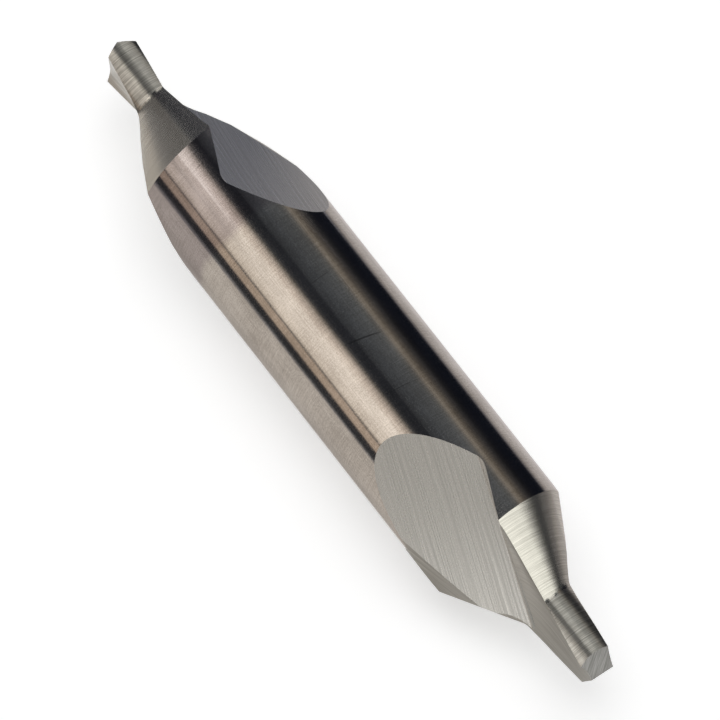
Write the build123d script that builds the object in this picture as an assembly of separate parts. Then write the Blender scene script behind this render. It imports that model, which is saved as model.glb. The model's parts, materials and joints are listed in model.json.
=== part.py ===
from build123d import *
from math import atan2, cos, hypot, radians, sin, sqrt, tan
import os

# Double-ended centre drill for 60 degree centres, right-hand cutting, ground from one bar.
# Millimetres. The axis lies along X, the origin is the middle of the tool, +Z is up.
# Each end is drawn with its cone's corner at X = 0 and its point towards +X, then placed.
# Angles round the axis start at +Z and grow towards +Y.

# Overall sizes
body_diameter = 10.0
overall_length = 53.45
pilot_diameter = 4.0
cone_angle = 60.0
pilot_fillet = 0.8

# The ends are ground one after the other, so their pilots, flutes, points and clocking differ
near_pilot_land = 4.75
far_pilot_land = 3.7
near_runout_web = -0.03
far_runout_web = 0.06
near_runout_azimuth = -21.5
far_runout_azimuth = -24.6
near_clocking = -13.95
far_clocking = 17.05
near_lip_azimuth = 25.0
far_lip_azimuth = -72.0

# Point of each pilot
point_angle = 142.0
point_clearance = 16.0

# Helical flute, two at each end: a hooked wall, a rounded root and a flat floor
flute_lead = 76.0
edge_offset = 0.78
wall_radius = 3.65
root_radius = 1.9
half_web = 0.85
floor_azimuth = -25.7

# Under the cone the floor rises on the small wheel's radius until almost no wall is left
floor_rise_lead = 1.3
floor_wheel_radius = 8.0
wall_share = 0.97
pilot_stations = 5
rise_stations = 7

# Straight run-out ground across the body by a large wheel with an angled corner
runout_wheel_radius = 125.0
runout_helix_slope = 0.42
runout_exit_slope = 0.415
runout_corner_radius = 0.45
runout_station = 1.7
runout_swing = 8.0

# Flat that eases the heel of each flute
heel_azimuth = -47.0
heel_depth = 1.895
heel_slope = 0.337

# The ground lands fall away behind each cutting edge
cone_relief_offset = 0.28
pilot_relief_offset = 0.04
cone_relief_azimuth = -2.3
pilot_relief_azimuth = -22.5
land_azimuth = 45.0

body_radius = body_diameter / 2
pilot_radius = pilot_diameter / 2
cone_slope = tan(radians(cone_angle / 2))
cone_length = (body_radius - pilot_radius) / cone_slope
point_height = pilot_radius / tan(radians(point_angle / 2))
near_corner = overall_length / 2 - point_height - near_pilot_land - cone_length
far_corner = overall_length / 2 - point_height - far_pilot_land - cone_length
void_end = cone_length + max(near_pilot_land, far_pilot_land) + point_height + pilot_radius
outside = 2 * body_radius
twist = 360.0 / flute_lead
edge_height = sqrt(body_radius**2 - edge_offset**2)
pilot_edge_height = sqrt(pilot_radius**2 - edge_offset**2)
wall_centre_height = (edge_height + pilot_edge_height) / 2
wall_centre_y = edge_offset - sqrt(wall_radius**2 - (edge_height - wall_centre_height) ** 2)
floor_rise_x = cone_length + floor_rise_lead


def direction(azimuth):
    """Unit vector across the axis at an angle from +Z towards +Y."""
    return Vector(0, sin(radians(azimuth)), cos(radians(azimuth)))


floor_out = direction(floor_azimuth)
edge_web = edge_offset * floor_out.Y + edge_height * floor_out.Z


def blank():
    """The turned bar: body, two cones and two pilots, with a fillet where each pilot starts."""
    half = overall_length / 2
    with BuildSketch() as profile:
        Polygon(
            (-half, 0),
            (-half, pilot_radius),
            (-far_corner - cone_length, pilot_radius),
            (-far_corner, body_radius),
            (near_corner, body_radius),
            (near_corner + cone_length, pilot_radius),
            (half, pilot_radius),
            (half, 0),
            align=None,
        )
        # In order along X the pilots' starts are third from each end
        in_order = profile.vertices().sort_by(Axis.X)
        fillet((in_order[2], in_order[-3]), pilot_fillet)
    return revolve(profile.sketch, Axis.X)


def flute_section(x):
    """Outline of the helical flute's void where it crosses the plane at x."""
    run = max(0.0, floor_rise_x - x)
    web = half_web + floor_wheel_radius - sqrt(floor_wheel_radius**2 - run**2)
    along = (-floor_out.Z, floor_out.Y)
    # The wall's circle meets the floor line at the root
    gap = wall_centre_y * floor_out.Y + wall_centre_height * floor_out.Z - web
    reach = sqrt(wall_radius**2 - gap**2)
    root = (
        wall_centre_y - gap * floor_out.Y - reach * along[0],
        wall_centre_height - gap * floor_out.Z - reach * along[1],
    )
    heel = (root[0] + 3 * outside * along[0], root[1] + 3 * outside * along[1])
    rise = atan2(edge_height - wall_centre_height, edge_offset - wall_centre_y)
    fall = atan2(root[1] - wall_centre_height, root[0] - wall_centre_y)
    middle = (
        wall_centre_y + wall_radius * cos((rise + fall) / 2),
        wall_centre_height + wall_radius * sin((rise + fall) / 2),
    )
    with BuildSketch() as sketch:
        with BuildLine():
            Line((edge_offset, 2 * outside), (edge_offset, edge_height))
            ThreePointArc((edge_offset, edge_height), middle, root)
            Polyline(root, heel, (heel[0], 2 * outside), (edge_offset, 2 * outside))
        make_face()
        corner = sketch.vertices().sort_by_distance(root)[0]
        fillet(corner, root_radius * (edge_web - web) / (edge_web - half_web))
    station = Plane(origin=(x, 0, 0), x_dir=(0, 1, 0), z_dir=(1, 0, 0))
    return station * Rot(0, 0, twist * x) * sketch.sketch


def helical_flute():
    """Void of one flute: a helix along pilot and cone whose floor rises towards the body."""
    rise = wall_share * (edge_web - half_web)
    last = floor_rise_x - sqrt(rise * (2 * floor_wheel_radius - rise))
    pilot_step = (floor_rise_x - void_end) / pilot_stations
    rise_step = (last - floor_rise_x) / rise_stations
    stations = [void_end + pilot_step * count for count in range(pilot_stations)]
    stations += [floor_rise_x + rise_step * count for count in range(rise_stations + 1)]
    return loft([flute_section(x) for x in stations])


def runout(runout_web, runout_azimuth):
    """Void of one straight run-out: the wheel's corner swung round the wheel's axle.

    Its floor passes the axis at runout_web where the pilot starts.
    """
    steep = runout_wheel_radius * runout_exit_slope
    length = steep - sqrt(steep**2 - 2 * runout_wheel_radius * (body_radius - runout_web))
    run = length - cone_length - runout_station
    depth = runout_exit_slope * run - run**2 / (2 * runout_wheel_radius)
    slope = runout_exit_slope - run / runout_wheel_radius
    across = direction(runout_azimuth)
    corner_y = edge_offset + runout_helix_slope * runout_station
    corner_z = (body_radius - depth - corner_y * across.Y) / across.Z
    corner = Vector(-runout_station, corner_y, corner_z)
    axle = Vector(runout_helix_slope, 1, 0).normalized()
    floor = (across + Vector(slope, 0, 0)).normalized()
    radial = (floor - axle * floor.dot(axle)).normalized()
    fall = floor.dot(axle) / floor.dot(radial)
    with BuildSketch(Plane(origin=corner, x_dir=axle, z_dir=axle.cross(radial))) as sketch:
        Polygon((0, 0), (0, outside), (-outside, outside), (-outside, fall * outside), align=None)
        inner = sketch.vertices().sort_by_distance(corner)[0]
        fillet(inner, runout_corner_radius)
    wheel_axis = Axis(corner + radial * runout_wheel_radius, axle)
    swing = revolve(sketch.sketch, wheel_axis, revolution_arc=2 * runout_swing)
    return swing.rotate(wheel_axis, -runout_swing)


def heel_flat():
    """Void of the flat ground along one heel, on the side away from the cutting edge."""
    outward = direction(heel_azimuth)
    flat = Plane(
        origin=outward * (body_radius - heel_depth),
        x_dir=Vector(1, 0, 0) - outward * heel_slope,
        z_dir=outward + Vector(heel_slope, 0, 0),
    )
    reach = cone_length * sqrt(1 + heel_slope**2)
    sides = (Align.MAX, Align.MAX, Align.MIN)
    return flat * Pos(X=reach) * Box(reach + 2 * outside, outside, body_radius, align=sides)


def relief(half_turn):
    """What is ground off one land behind its cutting edge, on the cone and on the pilot."""
    on_axis = (Align.CENTER, Align.CENTER, Align.MIN)
    overlap = pilot_radius / 2
    cone = Cone(
        body_radius + body_radius * cone_slope,
        pilot_radius - overlap * cone_slope,
        body_radius + cone_length + overlap,
        align=on_axis,
    )
    cone_shift = direction(cone_relief_azimuth - 90) * cone_relief_offset
    pilot_shift = direction(pilot_relief_azimuth - 90) * pilot_relief_offset
    keep = Pos(cone_shift) * Pos(X=-body_radius) * Rot(Y=90) * cone
    keep += Pos(pilot_shift) * Rot(Y=90) * Cylinder(pilot_radius, void_end, align=on_axis)
    joint = keep.edges().filter_by(GeomType.LINE, reverse=True)
    keep = fillet(joint.filter_by_position(Axis.X, 0, 2 * cone_length), pilot_fillet)
    above = (Align.MIN, Align.CENTER, Align.MIN)
    land = Pos(X=-body_radius / 2) * Box(void_end + outside, 2 * outside, outside, align=above)
    return Rot(X=half_turn) * (Rot(X=-land_azimuth) * land - keep)


def point_facet(pilot_land, lip_azimuth):
    """The half space above one facet of the point."""
    tip_turn = twist * (cone_length + pilot_land)
    lip = direction(lip_azimuth - tip_turn)
    trailing = direction(lip_azimuth - tip_turn + 90)
    lean = lip / tan(radians(point_angle / 2)) + trailing * tan(radians(point_clearance))
    tip = (cone_length + pilot_land + point_height, 0, 0)
    facet = Plane(origin=tip, z_dir=(Vector(1, 0, 0) + lean).normalized())
    return facet * Box(outside, outside, outside, align=(Align.CENTER, Align.CENTER, Align.MIN))


def end_voids(pilot_land, lip_azimuth, runout_web, runout_azimuth):
    """Everything ground away at one end."""
    straight = runout(runout_web, runout_azimuth)
    facet = point_facet(pilot_land, lip_azimuth)
    cuts = [helical_flute(), straight, heel_flat(), facet]
    voids = []
    for half_turn in (0, 180):
        voids += [Rot(X=half_turn) * cut for cut in cuts]
        voids.append(relief(half_turn))
    return voids


def centre_drill():
    """The finished tool: the bar less what is ground away at its two ends."""
    tool = blank()
    near_sizes = (near_pilot_land, near_lip_azimuth, near_runout_web, near_runout_azimuth)
    for void in end_voids(*near_sizes):
        tool -= Pos(X=near_corner) * Rot(X=-near_clocking) * void
    far_sizes = (far_pilot_land, far_lip_azimuth, far_runout_web, far_runout_azimuth)
    for void in end_voids(*far_sizes):
        tool -= Pos(X=-far_corner) * Rot(X=-far_clocking) * Rot(Z=180) * void
    return tool


os.makedirs("parts", exist_ok=True)
export_step(centre_drill(), "parts/centre_drill.step")
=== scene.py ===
"""Centre drill: the looks of a double-ended centre drill lying on a plain pale floor.

Every object is in metres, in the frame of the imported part: the tool's axis lies along X, the end
near the camera points towards +X, and +Z is up. Shapes of the ground faces are worked out in
millimetres, in the frame of one end, where X = 0 is the corner of that end's cone and +X points to
its tip. An azimuth is an angle round the axis from +Z towards +Y.
"""

import json
from math import atan2, cos, degrees, hypot, pi, radians, sin, sqrt, tan

import bpy
from mathutils import Matrix, Vector
from mathutils.kdtree import KDTree

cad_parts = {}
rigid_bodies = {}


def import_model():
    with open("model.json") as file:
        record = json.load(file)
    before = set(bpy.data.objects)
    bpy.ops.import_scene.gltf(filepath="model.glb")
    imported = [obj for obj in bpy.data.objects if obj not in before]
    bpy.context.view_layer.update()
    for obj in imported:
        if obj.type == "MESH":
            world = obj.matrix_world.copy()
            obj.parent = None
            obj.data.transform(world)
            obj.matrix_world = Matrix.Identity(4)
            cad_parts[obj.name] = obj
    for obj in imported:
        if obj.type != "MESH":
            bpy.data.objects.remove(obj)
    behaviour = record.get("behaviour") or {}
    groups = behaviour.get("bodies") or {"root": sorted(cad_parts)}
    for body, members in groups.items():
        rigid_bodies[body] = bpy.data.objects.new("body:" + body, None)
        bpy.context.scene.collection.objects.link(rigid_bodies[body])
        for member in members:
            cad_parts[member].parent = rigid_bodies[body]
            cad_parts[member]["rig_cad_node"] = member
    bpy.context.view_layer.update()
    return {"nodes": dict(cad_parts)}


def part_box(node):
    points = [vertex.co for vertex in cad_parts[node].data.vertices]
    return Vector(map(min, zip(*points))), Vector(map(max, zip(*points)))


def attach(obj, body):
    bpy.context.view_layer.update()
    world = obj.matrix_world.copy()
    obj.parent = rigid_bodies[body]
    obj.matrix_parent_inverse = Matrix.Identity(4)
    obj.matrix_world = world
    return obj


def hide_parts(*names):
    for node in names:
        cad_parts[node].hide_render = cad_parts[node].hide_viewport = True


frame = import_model()

bl_info = {
    "name": "Centre drill",
    "version": (1, 0, 0),
    "blender": (4, 5, 0),
    "location": "3D View > Sidebar > Centre drill",
    "description": "Finishes a double-ended centre drill and sets it on a plain studio stage",
    "category": "Object",
}

MILLIMETRES = 1000.0
FULL_TURN = 360.0

# Sizes of the part that its faces are told apart by: millimetres, degrees, and slopes as ratios
BODY_RADIUS = 5.0
PILOT_RADIUS = 2.0
CONE_HALF_ANGLE = 30.0
NEAR_PILOT_LAND = 4.75
FAR_PILOT_LAND = 3.7
NEAR_RUNOUT_WEB = -0.03
FAR_RUNOUT_WEB = 0.06
NEAR_RUNOUT_AZIMUTH = -21.5
FAR_RUNOUT_AZIMUTH = -24.6
NEAR_CLOCKING = -13.95
FAR_CLOCKING = 17.05
POINT_ANGLE = 142.0
FLUTE_LEAD = 76.0
EDGE_OFFSET = 0.78
WALL_RADIUS = 3.65
RUNOUT_WHEEL_RADIUS = 125.0
RUNOUT_HELIX_SLOPE = 0.42
RUNOUT_EXIT_SLOPE = 0.415
RUNOUT_CORNER_RADIUS = 0.45
RUNOUT_STATION = 1.7
HEEL_AZIMUTH = -47.0
HEEL_DEPTH = 1.895
HEEL_SLOPE = 0.337
CONE_RELIEF_OFFSET = 0.28
PILOT_RELIEF_OFFSET = 0.04
CONE_RELIEF_AZIMUTH = -2.3
PILOT_RELIEF_AZIMUTH = -22.5
LAND_AZIMUTH = 45.0
FLUTE_AZIMUTH = -30.0
POINT_STROKE_AZIMUTH = 50.0

# How near a triangle has to be to a ground surface to belong to it, in millimetres, and for a land
# how far round from its middle, in degrees
SURFACE_TOLERANCE = 0.012
FILLET_TOLERANCE = 0.15
LAND_REACH = 92.0
# Least cosine between a triangle and its surface, and between a facet of the point and the axis
FACING = 0.9
POINT_FACING = 0.8
# How far the normals of a flute are averaged, in millimetres, and the least cosine between two
SMOOTHING_REACH = 0.5
SMOOTHING_COSINE = 0.6
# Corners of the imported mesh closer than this, in metres, are one
MERGE_DISTANCE = 1e-6

CONE_SLOPE = tan(radians(CONE_HALF_ANGLE))
CONE_LENGTH = (BODY_RADIUS - PILOT_RADIUS) / CONE_SLOPE
POINT_HEIGHT = PILOT_RADIUS / tan(radians(POINT_ANGLE / 2))
HALF_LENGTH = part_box("centre_drill")[1].x * MILLIMETRES
NEAR_CORNER = HALF_LENGTH - POINT_HEIGHT - NEAR_PILOT_LAND - CONE_LENGTH
FAR_CORNER = HALF_LENGTH - POINT_HEIGHT - FAR_PILOT_LAND - CONE_LENGTH
EDGE_HEIGHT = sqrt(BODY_RADIUS**2 - EDGE_OFFSET**2)
PILOT_EDGE_HEIGHT = sqrt(PILOT_RADIUS**2 - EDGE_OFFSET**2)
WALL_CENTRE_HEIGHT = (EDGE_HEIGHT + PILOT_EDGE_HEIGHT) / 2
WALL_CENTRE_Y = EDGE_OFFSET - sqrt(WALL_RADIUS**2 - (EDGE_HEIGHT - WALL_CENTRE_HEIGHT) ** 2)

# Ground faces: how much of the coarse marks goes into the fine ones, the heights at which the dark
# and the light tone are full, and how much rougher their bottoms are and glossier their tops
COARSE_SHARE = 0.2
GROUND_TONE_HEIGHTS = (0.36, 0.62)
GROUND_GLOSS_CHANGE = 0.15

# Grains of the polished body, as millimetres along and round the axis. The real ones are a few
# hundredths of a millimetre wide. These are two to five times coarser, or they wouldn't show.
RING_SIZE = (0.07, 2.5, 1.0)
STREAK_SIZE = (4.0, 0.08, 1.0)
HAIR_SIZE = (0.13, 2.2, 1.0)
# Its specks and its cloudy tone, as metres in the part's frame
SPECK_SIZE = (8e-5, 8e-5, 8e-5)
CLOUD_SIZE = (3e-3, 1.5e-3, 1.5e-3)
# How much of each goes into what came before it
STREAK_SHARE = 0.45
SPECK_SHARE = 0.4
CLOUD_SHARE = 0.25
# The heights of its grain at which the dark and the light tone are full, the grain's depth in
# metres, and how much further the gloss is smeared across the marks than along them
BODY_TONE_HEIGHTS = (0.42, 0.59)
BODY_GRAIN_DEPTH = 6e-8
BODY_SPREAD = 0.5
PIT_ROUGHNESS = 0.19
HAIR_DARKNESS = 0.5
# Scratches of the body: place along and round the axis, angle from the axis, half length and half
# width, and how dark each is. Millimetres and degrees.
SCRATCHES = (
    ((0.82, 0.12), 77.0, (1.35, 0.075), 0.65),
    ((4.94, -0.03), 82.0, (1.5, 0.05), 0.35),
    ((-4.26, 0.38), 93.0, (0.95, 0.05), 0.35),
)
# Where the darker, violet-tinted colour of the far end is full and where it stops, how far its
# edge wanders, in metres along X, and how full it gets
FAR_TINT_ENDS = (-0.0102, -0.0096)
FAR_TINT_WANDER = 8e-4
FAR_TINT_SHARE = 0.95

# Distances of studio cards from the tool's axis, in metres. A card close over the tool shows in one
# stretch of it, where a far one shows all along.
CLOSE_CARD = 0.043
CLOSE_FRONT_CARD = 0.045
FRONT_CARD = 0.40
CONE_CARD = 0.38
# Floor cards lie this far above the floor. The one that the near cone mirrors on the right has this
# share of the glow of the one beside the body.
FLOOR_CARD_LIFT = 0.00008
FRONT_RIGHT_SHARE = 0.76
# Glow of the floor, which adds to what the lamp gives it, and of the sky where it lights things
FLOOR_GLOW = 0.5
SKY_LIGHT = 0.3
LAMP_PLACE = (-0.2, 0.1, 1.1)
TENT_MIDDLE = (0.0, 0.0, 0.6)
TENT_SIZE = (2.8, 2.0, 1.6)

MARKS = "marks"
FINISHES = (
    "polished_body",
    "ring_ground_cone",
    "ring_ground_pilot",
    "wheel_ground_runout",
    "wheel_ground_flute",
    "ground_heel",
    "ground_point",
)


def around(azimuth):
    """Unit vector across the axis at an azimuth in degrees."""
    return Vector((0, sin(radians(azimuth)), cos(radians(azimuth))))


def half_turns(near):
    """Matrices from the part's millimetres into the two half turns of one end's own frame."""
    if near:
        clocking = Matrix.Rotation(radians(-NEAR_CLOCKING), 4, "X")
        place = Matrix.Translation((NEAR_CORNER, 0, 0)) @ clocking
    else:
        clocking = Matrix.Rotation(radians(-FAR_CLOCKING), 4, "X")
        place = Matrix.Translation((-FAR_CORNER, 0, 0)) @ clocking @ Matrix.Rotation(pi, 4, "Z")
    return [(place @ Matrix.Rotation(turn, 4, "X")).inverted() for turn in (0, pi)]


class Wheel:
    """The grinding wheel that cut one straight run-out, in the frame of its end."""

    def __init__(self, web, azimuth):
        steep = RUNOUT_WHEEL_RADIUS * RUNOUT_EXIT_SLOPE
        length = steep - sqrt(steep**2 - 2 * RUNOUT_WHEEL_RADIUS * (BODY_RADIUS - web))
        run = length - CONE_LENGTH - RUNOUT_STATION
        depth = RUNOUT_EXIT_SLOPE * run - run**2 / (2 * RUNOUT_WHEEL_RADIUS)
        slope = RUNOUT_EXIT_SLOPE - run / RUNOUT_WHEEL_RADIUS
        across = around(azimuth)
        corner_y = EDGE_OFFSET + RUNOUT_HELIX_SLOPE * RUNOUT_STATION
        corner_z = (BODY_RADIUS - depth - corner_y * across.y) / across.z
        corner = Vector((-RUNOUT_STATION, corner_y, corner_z))
        self.axle = Vector((RUNOUT_HELIX_SLOPE, 1, 0)).normalized()
        floor = (across + Vector((slope, 0, 0))).normalized()
        self.radial = (floor - self.axle * floor.dot(self.axle)).normalized()
        self.travel = self.axle.cross(self.radial)
        self.fall = floor.dot(self.axle) / floor.dot(self.radial)
        self.stretch = sqrt(1 + self.fall**2)
        self.hub = corner + self.radial * RUNOUT_WHEEL_RADIUS

    def read(self, point):
        """How far a point is from the run-out, the way out of the steel there, and its marks."""
        from_hub = point - self.hub
        side = from_hub.dot(self.axle)
        spoke = from_hub - self.axle * side
        height = RUNOUT_WHEEL_RADIUS - spoke.length
        inward = -spoke.normalized()
        along = RUNOUT_WHEEL_RADIUS * atan2(spoke.dot(self.travel), -spoke.dot(self.radial))
        above_floor = (height + self.fall * side) / self.stretch
        rounded_side = -RUNOUT_CORNER_RADIUS
        rounded_height = RUNOUT_CORNER_RADIUS * (self.stretch + self.fall)
        floor_foot = rounded_side - RUNOUT_CORNER_RADIUS * self.fall / self.stretch
        if side > floor_foot and height < rounded_height:
            reach = hypot(side - rounded_side, height - rounded_height)
            normal = self.axle * (rounded_side - side) + inward * (rounded_height - height)
            return abs(reach - RUNOUT_CORNER_RADIUS), normal.normalized(), (-side - height, along)
        if abs(above_floor) < abs(side):
            normal = (inward + self.axle * self.fall).normalized()
            return abs(above_floor), normal, (-side * self.stretch, along)
        return abs(side), -self.axle, (-height, along)


def from_pilot_land(point):
    """A point as seen from the axis of the relieved pilot, and how far it is outside its wall."""
    from_pilot = point - around(PILOT_RELIEF_AZIMUTH - 90) * PILOT_RELIEF_OFFSET
    return from_pilot, hypot(from_pilot.y, from_pilot.z) - PILOT_RADIUS


def land(point):
    """How far a point is from a relieved land, the way out of the steel there, and its marks."""
    from_cone = point - around(CONE_RELIEF_AZIMUTH - 90) * CONE_RELIEF_OFFSET
    from_pilot, over_pilot = from_pilot_land(point)
    over_cone = hypot(from_cone.y, from_cone.z) - (BODY_RADIUS - point.x * CONE_SLOPE)
    over_both = over_cone + over_pilot
    on_cone = abs(over_cone) < SURFACE_TOLERANCE
    on_pilot = abs(over_pilot) < SURFACE_TOLERANCE
    if on_cone or on_pilot:
        lean = CONE_HALF_ANGLE if abs(over_cone) < abs(over_pilot) else 0.0
        miss = min(abs(over_cone), abs(over_pilot))
    else:
        lean = CONE_HALF_ANGLE * over_pilot / over_both if over_both > 0 else 0.0
        inside = 0 < over_cone < FILLET_TOLERANCE and 0 < over_pilot < FILLET_TOLERANCE
        miss = 0.0 if inside else FILLET_TOLERANCE
    centre = from_cone if lean > CONE_HALF_ANGLE / 2 else from_pilot
    outward = Vector((0, centre.y, centre.z)).normalized()
    normal = outward * cos(radians(lean)) + Vector((sin(radians(lean)), 0, 0))
    turn = atan2(point.y, point.z)
    return miss, normal, (point.x / cos(radians(CONE_HALF_ANGLE)), turn * hypot(point.y, point.z))


def body(point):
    """How far a point is from the round body, the way out of the steel there, and its marks."""
    radius = hypot(point.y, point.z)
    turn = atan2(point.y, point.z)
    return abs(radius - BODY_RADIUS), Vector((0, point.y, point.z)) / radius, (point.x, turn * radius)


def heel(point):
    """How far a point is from the flat on the heel, the way out of the steel there, and its marks."""
    outward = around(HEEL_AZIMUTH)
    normal = (outward + Vector((HEEL_SLOPE, 0, 0))).normalized()
    side = outward.cross(Vector((1, 0, 0)))
    above = (point - outward * (BODY_RADIUS - HEEL_DEPTH)).dot(normal)
    return abs(above), normal, (point.dot(side), point.x)


def helix(point):
    """Marks of the wheel that cut the helical flute: they keep to one place of its outline."""
    turned = Matrix.Rotation(radians(-FULL_TURN / FLUTE_LEAD * point.x), 3, "X") @ point
    angle = atan2(turned.z - WALL_CENTRE_HEIGHT, turned.y - WALL_CENTRE_Y)
    return WALL_RADIUS * angle, point.x


class Face:
    """One triangle of the tool: its finish, and the normal and marks at each of its corners.

    Its group says which half turn of which end it is on, and so keeps the four flutes apart.
    """

    def __init__(self, finish, group, normals, marks):
        self.finish = finish
        self.group = group
        self.normals = normals
        self.marks = marks


def read_face(corners, flat, near, wheels, frames):
    """Tell which ground surface a triangle belongs to, and read its normals and marks."""
    surfaces = (
        ("polished_body", body),
        ("wheel_ground_runout", wheels[near].read),
        ("ground_heel", heel),
        ("ring_ground", land),
    )
    for half, into in enumerate(frames):
        turned = into.to_3x3()
        out = turned.transposed()
        local = [into @ corner for corner in corners]
        middle = sum(local, Vector()) / len(local)
        for finish, surface in surfaces:
            read = [surface(point) for point in local]
            close = all(miss < SURFACE_TOLERANCE for miss, _, _ in read)
            facing = surface(middle)[1].dot(turned @ flat) > FACING
            if not (close and facing):
                continue
            if finish == "polished_body":
                if middle.x > SURFACE_TOLERANCE:
                    continue
                # The body is read in the part's own frame, so that its marks run on from end to end
                read = [body(corner) for corner in corners]
                return Face(finish, half, [normal for _, normal, _ in read], [mark for _, _, mark in read])
            if finish == "ring_ground":
                azimuth = degrees(atan2(middle.y, middle.z))
                if abs(azimuth - LAND_AZIMUTH) >= LAND_REACH:
                    continue
                # The fillet between cone and pilot is ground with the cone
                on_pilot = all(abs(from_pilot_land(point)[1]) < SURFACE_TOLERANCE for point in local)
                finish += "_pilot" if on_pilot else "_cone"
            return Face(finish, half, [out @ normal for _, normal, _ in read], [mark for _, _, mark in read])
    return read_other_face(corners, flat, frames)


def read_other_face(corners, flat, frames):
    """Tell a triangle of a point from one of a helical flute. Both keep their flat normals here."""
    local = [frames[0] @ corner for corner in corners]
    if (frames[0].to_3x3() @ flat).x > POINT_FACING:
        # The point's facets carry straight marks from the stroke of the cup wheel
        stroke = around(POINT_STROKE_AZIMUTH)
        cross = stroke.cross(Vector((1, 0, 0)))
        marks = [(point.dot(cross), point.dot(stroke)) for point in local]
        return Face("ground_point", 0, [flat] * 3, marks)
    middle = sum(local, Vector()) / len(local)
    first_flute = around(FLUTE_AZIMUTH - FULL_TURN / FLUTE_LEAD * middle.x)
    half = 0 if middle.dot(first_flute) > 0 else 1
    local = [frames[half] @ corner for corner in corners]
    return Face("wheel_ground_flute", half, [flat] * 3, [helix(point) for point in local])


def unwrap(marks, circumference):
    """Bring the marks of one triangle to the same side of the seam round the axis."""
    first = marks[0][1]
    turns = [round((along - first) / circumference) for _, along in marks]
    return [(across, along - circumference * turn) for (across, along), turn in zip(marks, turns)]


def smooth_flutes(mesh, faces):
    """Average the flat normals of the flute walls, which are free-form, over a short reach."""
    members = [index for index, face in enumerate(faces) if face.finish == "wheel_ground_flute"]
    tree = KDTree(len(members))
    for index in members:
        tree.insert(mesh.polygons[index].center * MILLIMETRES, index)
    tree.balance()
    for index in members:
        polygon = mesh.polygons[index]
        for corner, vertex in enumerate(polygon.vertices):
            point = mesh.vertices[vertex].co * MILLIMETRES
            total = Vector()
            for _, other, distance in tree.find_range(point, SMOOTHING_REACH):
                neighbour = mesh.polygons[other]
                if faces[other].group != faces[index].group:
                    continue
                if neighbour.normal.dot(polygon.normal) < SMOOTHING_COSINE:
                    continue
                total += neighbour.normal * neighbour.area * (1 - distance / SMOOTHING_REACH) ** 2
            if total.length > 0:
                faces[index].normals[corner] = total.normalized()


def finish_faces(mesh):
    """Give each triangle its finish, its exact normals and its grinding marks."""
    frames = {near: half_turns(near) for near in (True, False)}
    wheels = {
        True: Wheel(NEAR_RUNOUT_WEB, NEAR_RUNOUT_AZIMUTH),
        False: Wheel(FAR_RUNOUT_WEB, FAR_RUNOUT_AZIMUTH),
    }
    faces = []
    for polygon in mesh.polygons:
        near = polygon.center.x > 0
        corners = [mesh.vertices[index].co * MILLIMETRES for index in polygon.vertices]
        face = read_face(corners, polygon.normal.copy(), near, wheels, frames[near])
        face.group += 0 if near else 2
        faces.append(face)
    smooth_flutes(mesh, faces)
    layer = mesh.uv_layers.new(name=MARKS)
    normals = [Vector((0, 0, 1))] * len(mesh.loops)
    for polygon, face in zip(mesh.polygons, faces):
        polygon.material_index = FINISHES.index(face.finish)
        polygon.use_smooth = True
        marks = face.marks
        if face.finish == "polished_body" or face.finish.startswith("ring_ground"):
            radius = hypot(polygon.center.y, polygon.center.z) * MILLIMETRES
            marks = unwrap(marks, 2 * pi * radius)
        for corner, loop in enumerate(polygon.loop_indices):
            normals[loop] = face.normals[corner]
            layer.data[loop].uv = marks[corner]
    mesh.normals_split_custom_set(normals)


def linear(code):
    """A hex colour as it is seen, turned into the linear colour that the shaders use."""
    channels = [int(code[place : place + 2], 16) / 255 for place in (1, 3, 5)]
    return [c / 12.92 if c <= 0.04045 else ((c + 0.055) / 1.055) ** 2.4 for c in channels] + [1.0]


def add_node(tree, kind, settings=None, inputs=None):
    """Add a node with its settings; an input takes a value or another node's output."""
    node = tree.nodes.new(kind)
    for name, value in (settings or {}).items():
        setattr(node, name, value)
    for name, value in (inputs or {}).items():
        # Nodes that serve several kinds of data repeat a name: the one in use is enabled
        socket = [each for each in node.inputs if each.enabled and name in (each.name, each.identifier)][0]
        if isinstance(value, bpy.types.NodeSocket):
            tree.links.new(value, socket)
        else:
            socket.default_value = value
    return node


def result(node):
    """The output in use of a node that has one result."""
    return [each for each in node.outputs if each.enabled][0]


def blank_material(name):
    """A new material with an empty node tree, and its output node."""
    material = bpy.data.materials.new(name)
    material.use_nodes = True
    material.node_tree.nodes.clear()
    return material, add_node(material.node_tree, "ShaderNodeOutputMaterial")


def stretched_noise(tree, vector, sizes, detail=3.0):
    """Noise whose grains have the given sizes along the vector's axes, in the vector's own unit."""
    scale = [1 / size for size in sizes]
    placed = add_node(tree, "ShaderNodeMapping", {}, {"Vector": vector, "Scale": scale})
    inputs = {"Vector": placed.outputs["Vector"], "Scale": 1.0, "Detail": detail, "Roughness": 0.6}
    return result(add_node(tree, "ShaderNodeTexNoise", {}, inputs))


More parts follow.
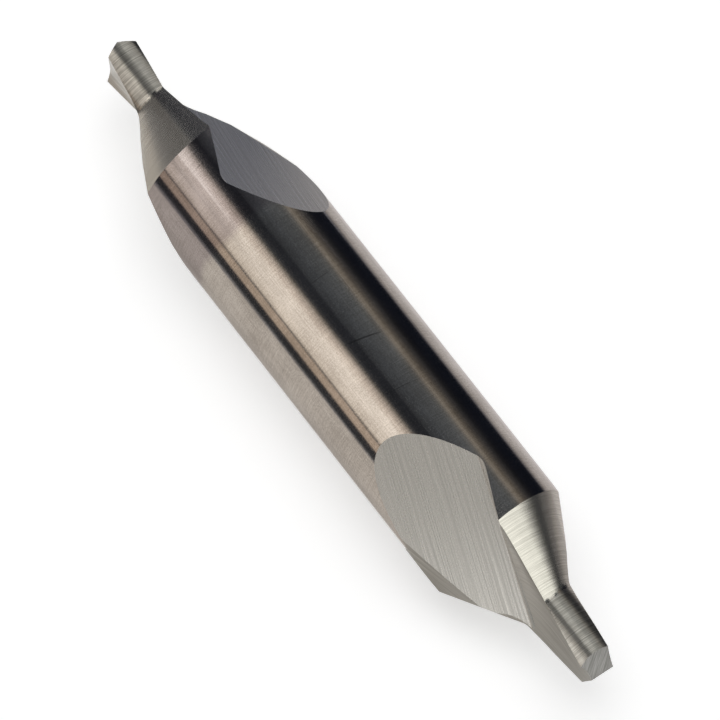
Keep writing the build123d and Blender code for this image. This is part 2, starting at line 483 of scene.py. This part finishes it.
def ground_steel(name, light, dark, roughness, spread, fine, coarse, depth):
    """Steel with straight grinding marks that follow the wheel.

    fine and coarse are (spacing, length) of the marks in millimetres, depth is their depth in
    metres, and spread is how much further the gloss is smeared across the marks than along them.
    """
    material, output = blank_material(name)
    tree = material.node_tree
    marks = add_node(tree, "ShaderNodeUVMap", {"uv_map": MARKS}).outputs["UV"]
    layers = [stretched_noise(tree, marks, (*size, 1.0)) for size in (fine, coarse)]
    inputs = {"Factor": COARSE_SHARE, "A": layers[0], "B": layers[1]}
    height = result(add_node(tree, "ShaderNodeMix", {"data_type": "FLOAT"}, inputs))
    tone = add_node(tree, "ShaderNodeValToRGB", {}, {"Fac": height})
    for element, position, colour in zip(tone.color_ramp.elements, GROUND_TONE_HEIGHTS, (dark, light)):
        element.position = position
        element.color = colour
    # The tops of the marks are worn a little glossier than their bottoms
    ends = {
        "From Min": 0.35,
        "From Max": 0.65,
        "To Min": roughness * (1 + GROUND_GLOSS_CHANGE),
        "To Max": roughness * (1 - GROUND_GLOSS_CHANGE),
    }
    worn = add_node(tree, "ShaderNodeMapRange", {}, {"Value": height, **ends})
    bump = add_node(tree, "ShaderNodeBump", {}, {"Height": height, "Distance": depth, "Strength": 1.0})
    finish_metal(tree, output, tone.outputs["Color"], result(worn), spread, bump)
    return material


def finish_metal(tree, output, colour, roughness, spread, bump):
    """Join a colour, a gloss and a bump into metal whose gloss is smeared across its marks."""
    tangent = add_node(tree, "ShaderNodeTangent", {"direction_type": "UV_MAP", "uv_map": MARKS})
    inputs = {
        "Base Color": colour,
        "Metallic": 1.0,
        "Roughness": roughness,
        "Anisotropic": spread,
        "Tangent": tangent.outputs["Tangent"],
        "Normal": bump.outputs["Normal"],
    }
    shader = add_node(tree, "ShaderNodeBsdfPrincipled", {}, inputs)
    tree.links.new(shader.outputs["BSDF"], output.inputs["Surface"])


def scratch(tree, marks, place, angle, size, darkness):
    """How dark one scratch is, from none round it to its darkness at its middle."""
    inputs = {
        "Vector": marks,
        "Location": (*place, 0),
        "Rotation": (0, 0, radians(angle)),
        "Scale": (*size, 1),
    }
    placed = add_node(tree, "ShaderNodeMapping", {"vector_type": "TEXTURE"}, inputs)
    inputs = {"Vector": placed.outputs["Vector"]}
    oval = add_node(tree, "ShaderNodeTexGradient", {"gradient_type": "SPHERICAL"}, inputs)
    ends = {"From Min": 0.0, "From Max": 0.5, "To Min": 0.0, "To Max": darkness}
    return result(add_node(tree, "ShaderNodeMapRange", {}, {"Value": oval.outputs["Fac"], **ends}))


def polished_steel(light, dark, scratched, far_tint, roughness):
    """The body: centreless ground and polished, with rings, lengthwise streaks, pits and scratches."""
    material, output = blank_material("Polished high-speed steel")
    tree = material.node_tree
    marks = add_node(tree, "ShaderNodeUVMap", {"uv_map": MARKS}).outputs["UV"]
    place = add_node(tree, "ShaderNodeTexCoord").outputs["Object"]
    streaks = stretched_noise(tree, marks, STREAK_SIZE)
    specks = stretched_noise(tree, place, SPECK_SIZE, 1.0)
    clouds = stretched_noise(tree, place, CLOUD_SIZE, 2.0)
    layers = [stretched_noise(tree, marks, RING_SIZE)]
    for share, layer in ((STREAK_SHARE, streaks), (SPECK_SHARE, specks), (CLOUD_SHARE, clouds)):
        inputs = {"Factor": share, "A": layers[-1], "B": layer}
        layers.append(result(add_node(tree, "ShaderNodeMix", {"data_type": "FLOAT"}, inputs)))
    lines = layers[1]
    grain = layers[-1]
    tone = add_node(tree, "ShaderNodeValToRGB", {}, {"Fac": grain})
    for element, position, shade in zip(tone.color_ramp.elements, BODY_TONE_HEIGHTS, (dark, light)):
        element.position = position
        element.color = shade
    colour = tone.outputs["Color"]
    # Short faint scratches all over, then the few that can be made out in the photo
    hairs = stretched_noise(tree, marks, HAIR_SIZE, 1.0)
    ends = {"From Min": 0.74, "From Max": 0.80, "To Min": 0.0, "To Max": HAIR_DARKNESS}
    depths = [result(add_node(tree, "ShaderNodeMapRange", {}, {"Value": hairs, **ends}))]
    depths += [scratch(tree, marks, *each) for each in SCRATCHES]
    for depth in depths:
        inputs = {"Factor": depth, "A": colour, "B": scratched}
        colour = result(add_node(tree, "ShaderNodeMix", {"data_type": "RGBA"}, inputs))
    ends = {"From Min": 0.45, "From Max": 0.85, "To Min": roughness * 0.9, "To Max": PIT_ROUGHNESS}
    pitted = result(add_node(tree, "ShaderNodeMapRange", {}, {"Value": specks, **ends}))
    inputs = {"Height": lines, "Distance": BODY_GRAIN_DEPTH, "Strength": 1.0}
    bump = add_node(tree, "ShaderNodeBump", {}, inputs)
    # Towards the far end the colour is darker and a little violet, from a wavy edge on
    along = add_node(tree, "ShaderNodeSeparateXYZ", {}, {"Vector": place}).outputs["X"]
    inputs = {"Value": clouds, "Value_001": FAR_TINT_WANDER, "Value_002": along}
    wavy = result(add_node(tree, "ShaderNodeMath", {"operation": "MULTIPLY_ADD"}, inputs))
    ends = {"From Min": FAR_TINT_ENDS[0], "From Max": FAR_TINT_ENDS[1], "To Min": FAR_TINT_SHARE, "To Max": 0.0}
    far_tinted = result(add_node(tree, "ShaderNodeMapRange", {}, {"Value": wavy, **ends}))
    settings = {"data_type": "RGBA", "blend_type": "MULTIPLY"}
    inputs = {"Factor": far_tinted, "A": colour, "B": far_tint}
    colour = result(add_node(tree, "ShaderNodeMix", settings, inputs))
    finish_metal(tree, output, colour, pitted, BODY_SPREAD, bump)
    return material


def colour_setting(name, description, code):
    """A setting for one colour."""
    return bpy.props.FloatVectorProperty(
        name=name, description=description, default=linear(code), size=4, subtype="COLOR"
    )


def roughness_setting(name, description, roughness):
    """A setting for how rough one finish is, from 0 for a mirror to 1 for chalk."""
    return bpy.props.FloatProperty(
        name=name, description=description, default=roughness, min=0.0, max=1.0, subtype="FACTOR"
    )


class FinishSettings(bpy.types.PropertyGroup):
    """Colours and gloss of the ground steel."""

    body_roughness: roughness_setting("Body roughness", "Roughness of the polished round body", 0.13)
    land_roughness: roughness_setting("Land roughness", "Roughness of the ring-ground cone lands", 0.23)
    pilot_roughness: roughness_setting("Pilot roughness", "Roughness of the ring-ground pilot lands", 0.35)
    flute_roughness: roughness_setting("Flute roughness", "Roughness of the flutes, heels and points", 0.35)
    runout_roughness: roughness_setting("Run-out roughness", "Roughness of the flat run-outs", 0.28)
    body_light: colour_setting("Body, light", "Worn tops of the polished body's grain", "#dbd8d4")
    body_dark: colour_setting("Body, dark", "Bottoms of the polished body's grain", "#b6b2ad")
    body_scratched: colour_setting("Body, scratched", "Bottoms of the body's scratches", "#5e5b58")
    # Tints the body darker and a little violet towards the far end
    body_far_tint: colour_setting("Body, dull tint", "Tint of the duller polish at the far end", "#dad6dc")
    cone_light: colour_setting("Cone, light", "Tops of the cone's marks", "#d6d4cd")
    cone_dark: colour_setting("Cone, dark", "Bottoms of the cone's marks", "#bdbbb4")
    pilot_light: colour_setting("Pilot, light", "Tops of the pilot's marks", "#d9d7d1")
    pilot_dark: colour_setting("Pilot, dark", "Bottoms of the pilot's marks", "#a3a19b")
    runout_light: colour_setting("Run-out, light", "Tops of the run-out's marks", "#d8d8d5")
    runout_dark: colour_setting("Run-out, dark", "Bottoms of the run-out's marks", "#b3b3b0")
    flute_light: colour_setting("Flute, light", "Tops of the flute's marks", "#c9c6c0")
    flute_dark: colour_setting("Flute, dark", "Bottoms of the flute's marks", "#b4b1ab")
    # The heel's tones are painted darker than the flute's, as shade
    heel_shaded_light: colour_setting("Heel, light", "Tops of the heel's marks", "#c8c5bf")
    heel_shaded_dark: colour_setting("Heel, dark", "Bottoms of the heel's marks", "#a5a29c")
    # The point's tones are painted darker than the rest of the steel, as shade
    point_shaded_light: colour_setting("Point, light", "Tops of the point's marks", "#a5a4a0")
    point_shaded_dark: colour_setting("Point, dark", "Bottoms of the point's marks", "#7d7c78")


class StageSettings(bpy.types.PropertyGroup):
    """Camera, floor and light."""

    camera_distance: bpy.props.FloatProperty(
        name="Camera distance",
        description="From the middle of the tool",
        default=0.5157249,
        unit="LENGTH",
    )
    camera_azimuth: bpy.props.FloatProperty(
        name="Camera azimuth",
        description="Round the vertical, from looking along +Y",
        default=radians(54.18),
        unit="ROTATION",
    )
    camera_elevation: bpy.props.FloatProperty(
        name="Camera elevation", description="Above the floor", default=radians(66.81), unit="ROTATION"
    )
    camera_right: bpy.props.FloatProperty(
        name="Camera to the right",
        description="Shift to the right of the tool's middle",
        default=0.00027648,
        unit="LENGTH",
    )
    camera_up: bpy.props.FloatProperty(
        name="Camera up",
        description="Shift upwards from the tool's middle",
        default=-0.00003778,
        unit="LENGTH",
    )
    camera_lens: bpy.props.FloatProperty(
        name="Lens", description="Focal length on a 36 mm sensor", default=400.0, unit="CAMERA"
    )
    floor_size: bpy.props.FloatProperty(
        name="Floor size", description="Side of the floor", default=12.0, unit="LENGTH"
    )
    card_distance: bpy.props.FloatProperty(
        name="Card distance",
        description="From the tool's axis to the far studio cards",
        default=0.5,
        unit="LENGTH",
    )
    lamp_size: bpy.props.FloatProperty(
        name="Lamp size", description="Side of the soft lamp over the floor", default=1.2, unit="LENGTH"
    )
    lamp_power: bpy.props.FloatProperty(
        name="Lamp power",
        description="Of the soft lamp, which the steel doesn't mirror",
        default=6.5,
        unit="POWER",
    )
    floor_colour: colour_setting("Floor colour", "Paint of the floor", "#e6e6e6")


class CENTREDRILL_OT_tool(bpy.types.Operator):
    """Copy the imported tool, merge its triangles and give each ground surface its finish"""

    bl_idname = "object.centre_drill_tool"
    bl_label = "Centre drill"
    bl_options = {"REGISTER", "UNDO"}

    def execute(self, context):
        node = frame["nodes"]["centre_drill"]
        bpy.ops.object.select_all(action="DESELECT")
        context.view_layer.objects.active = node
        node.select_set(True)
        bpy.ops.object.duplicate()
        piece = context.view_layer.objects.active
        piece.name = "ground_centre_drill"
        piece.data.name = "ground_centre_drill"
        del piece["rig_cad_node"]
        bpy.ops.mesh.customdata_custom_splitnormals_clear()
        bpy.ops.object.mode_set(mode="EDIT")
        bpy.ops.mesh.select_all(action="SELECT")
        bpy.ops.mesh.remove_doubles(threshold=MERGE_DISTANCE)
        bpy.ops.object.mode_set(mode="OBJECT")
        mesh = piece.data
        mesh.materials.clear()
        materials = self.make_materials(context.scene.centre_drill_finish)
        for name in FINISHES:
            mesh.materials.append(materials[name])
        finish_faces(mesh)
        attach(piece, "root")
        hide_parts("centre_drill")
        return {"FINISHED"}

    def make_materials(self, finish):
        """A material for each finish.

        The real grinding marks are a few hundredths of a millimetre apart, which is too fine to
        show in the render, so they are drawn two to five times coarser.
        """
        return {
            # High-speed steel, centreless ground and polished: it gives the eye sharp mirror
            # bands along the body, barely broken by fine rings, pits and a few scratches
            "polished_body": polished_steel(
                finish.body_light,
                finish.body_dark,
                finish.body_scratched,
                finish.body_far_tint,
                finish.body_roughness,
            ),
            # The same steel ground in rings: a bright satin streaked round the cone
            "ring_ground_cone": ground_steel(
                "Ring-ground cone land", finish.cone_light, finish.cone_dark, finish.land_roughness,
                spread=0.85, fine=(0.09, 5.0), coarse=(0.35, 9.0), depth=5.5e-7,
            ),
            # Ground in coarser rings: light and dark bars across the slim pilot
            "ring_ground_pilot": ground_steel(
                "Ring-ground pilot land", finish.pilot_light, finish.pilot_dark, finish.pilot_roughness,
                spread=0.97, fine=(0.10, 2.5), coarse=(0.45, 5.0), depth=9.0e-7,
            ),
            # Cut by a large wheel: an even grey satin with long fine streaks along its travel
            "wheel_ground_runout": ground_steel(
                "Wheel-ground run-out", finish.runout_light, finish.runout_dark, finish.runout_roughness,
                spread=0.9, fine=(0.08, 30.0), coarse=(0.3, 50.0), depth=4.0e-7,
            ),
            # Ground along the helix: a softer grey whose streaks bend with it
            "wheel_ground_flute": ground_steel(
                "Wheel-ground flute", finish.flute_light, finish.flute_dark, finish.flute_roughness,
                spread=0.6, fine=(0.10, 5.0), coarse=(0.4, 9.0), depth=5.0e-7,
            ),
            # Roughly ground, with a broken streak; its darker tone is painted shade
            "ground_heel": ground_steel(
                "Ground heel flat", finish.heel_shaded_light, finish.heel_shaded_dark, finish.flute_roughness,
                spread=0.6, fine=(0.10, 5.0), coarse=(0.4, 9.0), depth=6.0e-7,
            ),
            # The point's facets, ground on a cup wheel: grey with short streaks, their tone painted darker
            # as shade
            "ground_point": ground_steel(
                "Ground point facet", finish.point_shaded_light, finish.point_shaded_dark, finish.flute_roughness,
                spread=0.6, fine=(0.10, 2.0), coarse=(0.3, 4.0), depth=1.0e-6,
            ),
        }


def emission_card(name, stops, along="Y"):
    """Material of a studio card: its glow goes through the stops from one edge to the other.

    A stop is (place from 0 to 1, (red, green, blue)) in linear light, where 1 is white.
    """
    material, output = blank_material(name)
    tree = material.node_tree
    place = add_node(tree, "ShaderNodeTexCoord").outputs["UV"]
    split = add_node(tree, "ShaderNodeSeparateXYZ", {}, {"Vector": place})
    ramp = add_node(tree, "ShaderNodeValToRGB", {}, {"Fac": split.outputs[along]})
    elements = ramp.color_ramp.elements
    for position, _ in stops[2:]:
        elements.new(position)
    for element, (position, colour) in zip(elements, stops):
        element.position = position
        element.color = (*colour, 1.0)
    glow = add_node(tree, "ShaderNodeEmission", {}, {"Color": ramp.outputs["Color"], "Strength": 1.0})
    tree.links.new(glow.outputs["Emission"], output.inputs["Surface"])
    return material


def even(*colour):
    """Stops of a card that glows the same all over."""
    return (0.0, colour), (1.0, colour)


def dimmed(stops, share):
    """The same stops with a share of their glow."""
    return [(place, [channel * share for channel in colour]) for place, colour in stops]


def hide_from_all_but_gloss(thing):
    """A card is there only for what the steel mirrors."""
    thing.visible_camera = False
    thing.visible_diffuse = False
    thing.visible_shadow = False
    thing.visible_transmission = False
    thing.visible_volume_scatter = False


def add_plane(name, centre, turn, size, material):
    """A flat card of a size, turned about X, Y and Z by degrees."""
    bpy.ops.object.select_all(action="DESELECT")
    bpy.ops.mesh.primitive_plane_add(size=1.0, location=centre, rotation=[radians(angle) for angle in turn])
    card = bpy.context.object
    card.name = name
    card.scale = (*size, 1.0)
    card.data.materials.append(material)
    hide_from_all_but_gloss(card)


def add_strip(name, azimuths, distance, x_ends, stops, along="Y"):
    """A card parallel to the tool's axis that fills the azimuths from one to the other."""
    low, high = azimuths
    middle = (low + high) / 2
    width = 2 * distance * tan(radians((high - low) / 2))
    centre = around(middle) * distance
    centre.x = (x_ends[0] + x_ends[1]) / 2
    material = emission_card(name.replace("_", " ").capitalize(), stops, along)
    add_plane(name, centre, (-middle, 0, 0), (x_ends[1] - x_ends[0], width), material)


def add_floor_card(name, x_ends, y_ends, stops, along="Y"):
    """A card that lies just over the floor, for what the tool's underside mirrors."""
    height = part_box("centre_drill")[0].z + FLOOR_CARD_LIFT
    centre = ((x_ends[0] + x_ends[1]) / 2, (y_ends[0] + y_ends[1]) / 2, height)
    material = emission_card(name.replace("_", " ").capitalize(), stops, along)
    add_plane(name, centre, (0, 0, 0), (x_ends[1] - x_ends[0], y_ends[1] - y_ends[0]), material)


def shown_as_white(tree):
    """1 for the rays that should meet a white background, and 0 for those that carry its light on."""
    ray = add_node(tree, "ShaderNodeLightPath")
    shown = ray.outputs["Is Camera Ray"]
    for kind in ("Is Glossy Ray", "Is Transmission Ray"):
        inputs = {"Value": shown, "Value_001": ray.outputs[kind]}
        shown = result(add_node(tree, "ShaderNodeMath", {"operation": "MAXIMUM"}, inputs))
    return shown


class CENTREDRILL_OT_stage(bpy.types.Operator):
    """Make the floor, the soft light, the studio cards and the camera"""

    bl_idname = "scene.centre_drill_stage"
    bl_label = "Stage"
    bl_options = {"REGISTER", "UNDO"}

    def execute(self, context):
        stage = context.scene.centre_drill_stage
        self.add_camera(context, stage)
        self.add_floor(stage)
        self.add_world(context)
        self.add_lamp(context, stage)
        self.add_tent()
        self.add_body_cards(stage.card_distance)
        self.add_end_cards(stage.card_distance)
        self.add_floor_cards()
        self.add_rear_cards()
        context.scene.view_settings.view_transform = "Standard"
        return {"FINISHED"}

    def add_camera(self, context, stage):
        """The camera at the photograph's viewing angle."""
        azimuth = stage.camera_azimuth
        elevation = stage.camera_elevation
        back = Vector((sin(azimuth) * cos(elevation), -cos(azimuth) * cos(elevation), sin(elevation)))
        right = Vector((cos(azimuth), sin(azimuth), 0))
        up = back.cross(right)
        place = back * stage.camera_distance + right * stage.camera_right + up * stage.camera_up
        data = bpy.data.cameras.new("camera")
        data.lens = stage.camera_lens
        data.sensor_width = 36.0
        data.clip_start = 0.01
        data.clip_end = 50.0
        camera = bpy.data.objects.new("camera", data)
        context.scene.collection.objects.link(camera)
        turn = Matrix((right, up, back)).transposed().to_4x4()
        camera.matrix_world = Matrix.Translation(place) @ turn
        context.scene.camera = camera

    def add_floor(self, stage):
        """A plain pale floor under the tool. It reads white to the camera and in the steel."""
        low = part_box("centre_drill")[0].z
        bpy.ops.object.select_all(action="DESELECT")
        bpy.ops.mesh.primitive_plane_add(size=stage.floor_size, location=(0, 0, low))
        floor = bpy.context.object
        floor.name = "floor"
        material, output = blank_material("Matt white floor")
        tree = material.node_tree
        inputs = {"Value": shown_as_white(tree), "Value_001": FLOOR_GLOW}
        level = result(add_node(tree, "ShaderNodeMath", {"operation": "MULTIPLY"}, inputs))
        paint = add_node(tree, "ShaderNodeBsdfDiffuse", {}, {"Color": stage.floor_colour})
        glow = add_node(tree, "ShaderNodeEmission", {}, {"Color": linear("#ffffff"), "Strength": level})
        inputs = {"Shader": paint.outputs["BSDF"], "Shader_001": glow.outputs["Emission"]}
        both = add_node(tree, "ShaderNodeAddShader", {}, inputs)
        tree.links.new(both.outputs["Shader"], output.inputs["Surface"])
        floor.data.materials.append(material)

    def add_world(self, context):
        """White behind the floor's edge, and a soft even light on the floor."""
        world = bpy.data.worlds.new("studio")
        context.scene.world = world
        world.use_nodes = True
        tree = world.node_tree
        tree.nodes.clear()
        inputs = {"Value": shown_as_white(tree), "To Min": SKY_LIGHT, "To Max": 1.0}
        level = result(add_node(tree, "ShaderNodeMapRange", {}, inputs))
        sky = add_node(tree, "ShaderNodeBackground", {}, {"Color": linear("#ffffff"), "Strength": level})
        output = add_node(tree, "ShaderNodeOutputWorld")
        tree.links.new(sky.outputs["Background"], output.inputs["Surface"])

    def add_lamp(self, context, stage):
        """One large soft lamp, high up and aimed at the tool, that lights the floor."""
        data = bpy.data.lights.new("soft_lamp", "AREA")
        data.shape = "SQUARE"
        data.size = stage.lamp_size
        data.energy = stage.lamp_power
        lamp = bpy.data.objects.new("soft_lamp", data)
        context.scene.collection.objects.link(lamp)
        lamp.location = LAMP_PLACE
        lamp.rotation_euler = Vector(lamp.location).to_track_quat("Z", "Y").to_euler()
        lamp.visible_glossy = False

    def add_tent(self):
        """A dim tent round everything: what the steel mirrors where there is no card."""
        bpy.ops.object.select_all(action="DESELECT")
        bpy.ops.mesh.primitive_cube_add(size=1.0, location=TENT_MIDDLE)
        tent = bpy.context.object
        tent.name = "dim_tent"
        tent.scale = TENT_SIZE
        tent.data.materials.append(emission_card("Dim blue-grey tent", even(0.075, 0.081, 0.09)))
        hide_from_all_but_gloss(tent)

    def add_body_cards(self, far):
        """The cards that make the bands along the body, from its left side over the top to its right."""
        whole = (-0.7, 0.7)
        rear = (-0.7, 0.0)
        cream = (1.16, 1.04, 0.92)
        # A dark line low on the left, and a tan stripe over it
        add_strip("low_side_flag", (-89.2, -77.9), far, whole, even(0.036, 0.037, 0.042))
        add_strip("tan_reflector", (-77.9, -66.5), far, whole, even(0.59, 0.468, 0.37))
        # The broad cream band
        add_strip("side_softbox", (-64.5, -13.0), far, rear, (
            (0.0, (0.46, 0.38, 0.31)), (0.05, (0.90, 0.79, 0.675)), (0.38, cream), (0.6, cream),
            (0.72, (0.95, 0.82, 0.71)), (0.86, (0.56, 0.48, 0.41)), (0.93, (0.22, 0.195, 0.17)),
            (1.0, (0.04, 0.04, 0.045)),
        ))
        # The dark top, which turns blue-grey to the right
        add_strip("overhead_flag", (-13.0, 3.0), far, rear, (
            (0.0, (0.048, 0.05, 0.055)), (0.3, (0.022, 0.024, 0.03)), (1.0, (0.022, 0.024, 0.03)),
        ))
        add_strip("blue_grey_card", (3.0, 38.0), far, rear, (
            (0.0, (0.042, 0.045, 0.051)), (0.4, (0.075, 0.081, 0.09)), (1.0, (0.115, 0.121, 0.126)),
        ))
        # A thin warm line, and the nearly black band to its right
        add_strip("warm_strip", (38.0, 72.0), far, rear, (
            (0.0, (0.115, 0.12, 0.122)), (0.17, (0.15, 0.147, 0.142)), (0.32, (0.285, 0.25, 0.21)),
            (0.4, (0.24, 0.21, 0.175)), (0.5, (0.15, 0.128, 0.106)), (0.64, (0.09, 0.08, 0.072)),
            (0.81, (0.042, 0.04, 0.042)), (1.0, (0.02, 0.02, 0.024)),
        ))
        add_strip("side_flag", (65.0, 97.0), CLOSE_CARD, (-0.25, 0.02), (
            (0.0, (0.026, 0.026, 0.028)), (0.1, (0.014, 0.014, 0.017)), (0.3, (0.008, 0.009, 0.014)),
            (1.0, (0.005, 0.007, 0.013)),
        ))

    def add_end_cards(self, far):
        """The cards for the run-outs, cones and pilots, which look past the body's cards."""
        bright = (1.42, 1.41, 1.33)
        # The near run-out, darker where it starts and lighter towards the pilot
        add_strip("front_side_card", (-64.5, -16.0), far, (0.0, 0.8), (
            (0.0, (0.34, 0.33, 0.31)), (0.10, (1.1, 1.07, 1.02)), (0.15, (1.95, 1.89, 1.81)),
            (0.19, (1.65, 1.60, 1.53)), (0.215, (0.97, 0.94, 0.90)), (0.24, (0.50, 0.486, 0.468)),
            (0.265, (0.28, 0.274, 0.263)), (0.32, (0.25, 0.244, 0.234)), (0.37, (0.42, 0.41, 0.394)),
            (0.42, (1.05, 1.02, 0.98)), (0.5, (1.25, 1.22, 1.16)), (1.0, (1.25, 1.22, 1.16)),
        ), along="X")
        # The near cone, bright on the left and darkening to the right
        add_strip("front_softbox", (3.0, 72.0), FRONT_CARD, (0.05, 1.2), (
            (0.0, bright), (0.48, bright), (0.566, (1.05, 1.04, 0.98)), (0.635, (0.62, 0.61, 0.58)),
            (0.743, (0.2, 0.195, 0.19)), (0.832, (0.05, 0.05, 0.05)), (1.0, (0.03, 0.03, 0.03)),
        ))
        add_strip("cone_softbox", (36.0, 86.0), CONE_CARD, (0.19, 0.5), (
            (0.0, bright), (0.33, (1.35, 1.34, 1.26)), (0.444, (1.1, 1.09, 1.03)),
            (0.556, (0.78, 0.77, 0.73)), (0.67, (0.45, 0.445, 0.425)), (0.767, (0.26, 0.255, 0.245)),
            (0.868, (0.1, 0.1, 0.097)), (1.0, (0.03, 0.03, 0.03)),
        ))
        # The far pilot, then the near one: light, a dark line, and light again
        add_strip("rear_softbox", (-34.0, 70.0), CLOSE_CARD, (-0.056, -0.035), (
            (0.0, (1.75, 1.64, 1.5)), (0.22, (1.6, 1.5, 1.37)), (0.30, (0.4, 0.385, 0.36)),
            (0.35, (0.03, 0.03, 0.032)), (0.47, (0.03, 0.03, 0.032)), (0.53, (0.95, 0.92, 0.87)),
            (1.0, (0.95, 0.92, 0.87)),
        ))
        add_strip("pilot_softbox", (-54.0, 26.0), CLOSE_CARD, (0.0065, 0.022), (
            (0.0, (1.6, 1.57, 1.5)), (0.14, (2.1, 2.05, 1.96)), (0.25, (2.1, 2.05, 1.96)),
            (0.34, (0.4, 0.39, 0.37)), (0.40, (0.03, 0.03, 0.032)), (0.62, (0.03, 0.03, 0.032)),
            (0.70, (0.85, 0.83, 0.79)), (1.0, (0.85, 0.83, 0.79)),
        ))
        # The near cone again: its left edge, and the dark line and the grey on its right side
        add_strip("low_front_softbox", (-16.0, 3.0), FRONT_CARD, (0.28, 1.2), even(*bright))
        add_strip("front_flag", (79.0, 89.0), CLOSE_FRONT_CARD, (0.02, 0.25), even(0.015, 0.015, 0.017))
        add_strip("front_grey_card", (89.0, 97.0), CLOSE_FRONT_CARD, (0.02, 0.25), even(0.23, 0.222, 0.22))

    def add_floor_cards(self):
        """The cards that colour what the underside and the steeper faces mirror of the floor."""
        # To the left of the tool, for the body, the far cone, and the near heel and flute
        # Its darker edge next to the tool is painted shadow of the tool on the floor
        add_floor_card("warm_floor_card", (-0.045, 0.011), (-1.0, -0.0055), (
            (0.0, (0.65, 0.595, 0.54)), (0.994, (0.65, 0.595, 0.54)), (1.0, (0.47, 0.43, 0.395)),
        ))
        add_floor_card("rear_floor_card", (-0.4, -0.045), (-1.0, -0.002), (
            (0.0, (0.20, 0.193, 0.2)), (0.93, (0.21, 0.203, 0.21)), (1.0, (0.36, 0.34, 0.335)),
        ), along="X")
        add_floor_card("front_floor_card", (0.011, 0.3), (-1.0, -0.021), even(0.84, 0.82, 0.79))
        add_floor_card("near_front_floor_card", (0.011, 0.3), (-0.021, -0.002), even(0.44, 0.43, 0.41))
        # To the right, for the body's light right edge and, dimmer, the near cone's
        right = (
            (0.0, (0.70, 0.665, 0.65)), (0.2, (0.63, 0.585, 0.57)), (0.3, (0.56, 0.52, 0.5)),
            (0.42, (0.48, 0.44, 0.42)), (0.54, (0.345, 0.315, 0.30)), (0.74, (0.145, 0.135, 0.143)),
            (0.9, (0.05, 0.05, 0.06)), (1.0, (0.03, 0.03, 0.036)),
        )
        y_ends = (0.0055, 0.046)
        add_floor_card("right_floor_card", (-0.02, 0.018), y_ends, right)
        add_floor_card("front_right_floor_card", (0.018, 0.06), y_ends, dimmed(right, FRONT_RIGHT_SHARE))
        # For the far run-out
        add_floor_card("rear_right_floor_card", (-0.12, -0.02), (0.0055, 0.08), even(0.22, 0.22, 0.25))

    def add_rear_cards(self):
        """Two upright cards behind the far end: what the left and the right of its cone mirror."""
        size = (0.25, 0.25)
        upright = (90, 0, 90)
        grey = emission_card("Rear card", even(0.145, 0.137, 0.135))
        add_plane("rear_card", (-0.15, -0.128, 0.12), upright, size, grey)
        black = emission_card("Rear flag", even(0.03, 0.03, 0.04))
        add_plane("rear_flag", (-0.15, 0.122, 0.12), upright, size, black)


class CENTREDRILL_PT_panel(bpy.types.Panel):
    """Buttons that make the tool and its stage"""

    bl_label = "Centre drill"
    bl_space_type = "VIEW_3D"
    bl_region_type = "UI"
    bl_category = "Centre drill"

    def draw(self, context):
        layout = self.layout
        layout.operator("object.centre_drill_tool")
        layout.operator("scene.centre_drill_stage")
        for group in (context.scene.centre_drill_finish, context.scene.centre_drill_stage):
            for name in group.bl_rna.properties.keys():
                if name not in ("rna_type", "name"):
                    layout.prop(group, name)


CLASSES = (FinishSettings, StageSettings, CENTREDRILL_OT_tool, CENTREDRILL_OT_stage, CENTREDRILL_PT_panel)


def register():
    for thing in CLASSES:
        bpy.utils.register_class(thing)
    bpy.types.Scene.centre_drill_finish = bpy.props.PointerProperty(type=FinishSettings)
    bpy.types.Scene.centre_drill_stage = bpy.props.PointerProperty(type=StageSettings)


def unregister():
    del bpy.types.Scene.centre_drill_stage
    del bpy.types.Scene.centre_drill_finish
    for thing in reversed(CLASSES):
        bpy.utils.unregister_class(thing)


def main():
    register()
    bpy.ops.scene.centre_drill_stage()
    bpy.ops.object.centre_drill_tool()


if __name__ == "__main__":
    main()
